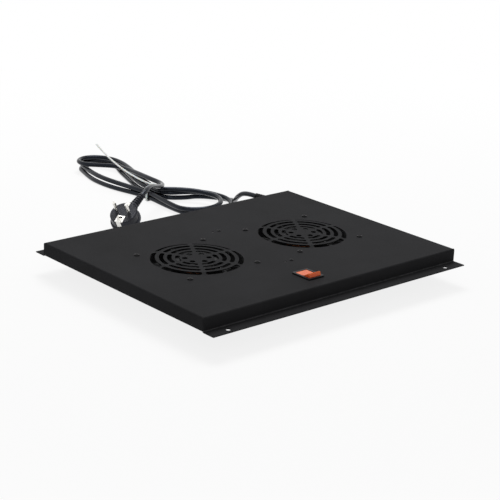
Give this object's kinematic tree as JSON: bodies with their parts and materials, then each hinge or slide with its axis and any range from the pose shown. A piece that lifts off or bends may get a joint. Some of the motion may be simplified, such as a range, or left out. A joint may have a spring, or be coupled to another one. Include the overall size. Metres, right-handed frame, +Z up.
{
  "type": "rack fan tray",
  "caption": "Folded steel rack tray with pressed spoke grilles, axial fans under it on wire guards, a lit rocker switch and a tied mains cord with an earthed plug.",
  "frame": {"origin": "centre of the footprint of the tray and its fans, on the surface that the fan guards stand on; the loose cord, hank and plug are not counted", "axes": "+X along the mounting flanges, +Y from the front flange (switch side) to the rear flange (cord side), +Z up through the fans"},
  "size_m": [0.413, 0.734, 0.0646],
  "materials": {
    "tray_paint": "semi-matt dark grey powder coat",
    "black_zinc": "black zinc, satin",
    "zinc": "bright zinc",
    "steel": "turned, satin",
    "laminations": "stacked sheet edges",
    "bronze": "sintered, oiled",
    "brass": "tinned, satin",
    "copper": "enamelled wire",
    "nickel": "bright nickel",
    "chrome": "bright plated wire",
    "cast_black": "black stove enamel on die casting",
    "impeller_black": "glass-filled, satin",
    "switch_black": "satin nylon",
    "rocker_orange": "translucent, glossy",
    "sleeve": "soft clear sleeve",
    "lamp_glass": "neon lamp",
    "nylon_black": "satin nylon",
    "core_brown": "satin PVC",
    "core_blue": "satin PVC",
    "core_green": "satin PVC, green with a yellow stripe",
    "lead_pvc": "satin PVC",
    "boot_rubber": "satin",
    "cord_pvc": "glossy PVC",
    "tie_nylon": "natural white nylon",
    "plug_plastic": "satin PVC"
  },
  "bodies": {
    "tray": {"tray_panel": "tray_paint", "fan_screws": "black_zinc", "fan_nuts": "zinc", "guard_screws": "zinc", "guard_nuts": "zinc", "switch_housing": "switch_black", "switch_tabs": "brass", "tab_sleeves": "sleeve", "switch_lamp": "lamp_glass", "front_saddle": "nylon_black", "rear_saddle": "nylon_black", "saddle_screws": "zinc", "earth_stud": "zinc", "earth_lug": "brass", "earth_nuts": "zinc", "core_live": "core_brown", "core_neutral": "core_blue", "core_earth": "core_green", "cord_bushing": "boot_rubber", "sheath_end": "cord_pvc", "power_cord": "cord_pvc", "cord_hank": "cord_pvc", "plug_lead": "cord_pvc", "cable_tie": "tie_nylon", "plug_body": "plug_plastic", "plug_pins": "nickel", "plug_earth_clips": "nickel", "fan_1_frame": "cast_black", "fan_1_bearings": "bronze", "fan_1_stator": "laminations", "fan_1_coils": "copper", "fan_1_guard": "chrome", "fan_1_lead": "lead_pvc", "fan_2_frame": "cast_black", "fan_2_bearings": "bronze", "fan_2_stator": "laminations", "fan_2_coils": "copper", "fan_2_guard": "chrome", "fan_2_lead": "lead_pvc"},
    "fan_1_spinner": {"fan_1_impeller": "impeller_black", "fan_1_rotor": "steel", "fan_1_shaft": "steel", "fan_1_clip": "steel"},
    "fan_2_spinner": {"fan_2_impeller": "impeller_black", "fan_2_rotor": "steel", "fan_2_shaft": "steel", "fan_2_clip": "steel"},
    "rocker": {"switch_rocker": "rocker_orange"}
  },
  "joints": [
    {"name": "fan_1_spin", "type": "hinge", "parent": "tray", "child": "fan_1_spinner", "pos_m": [-0.088, 0, 0.025], "axis": [0, 0, 1], "continuous": true},
    {"name": "fan_2_spin", "type": "hinge", "parent": "tray", "child": "fan_2_spinner", "pos_m": [0.088, 0, 0.025], "axis": [0, 0, 1], "continuous": true},
    {"name": "rocker_tilt", "type": "hinge", "parent": "tray", "child": "rocker", "pos_m": [-0.016, -0.1225, 0.0452], "axis": [1, 0, 0], "range_deg": [0, 25]}
  ]
}
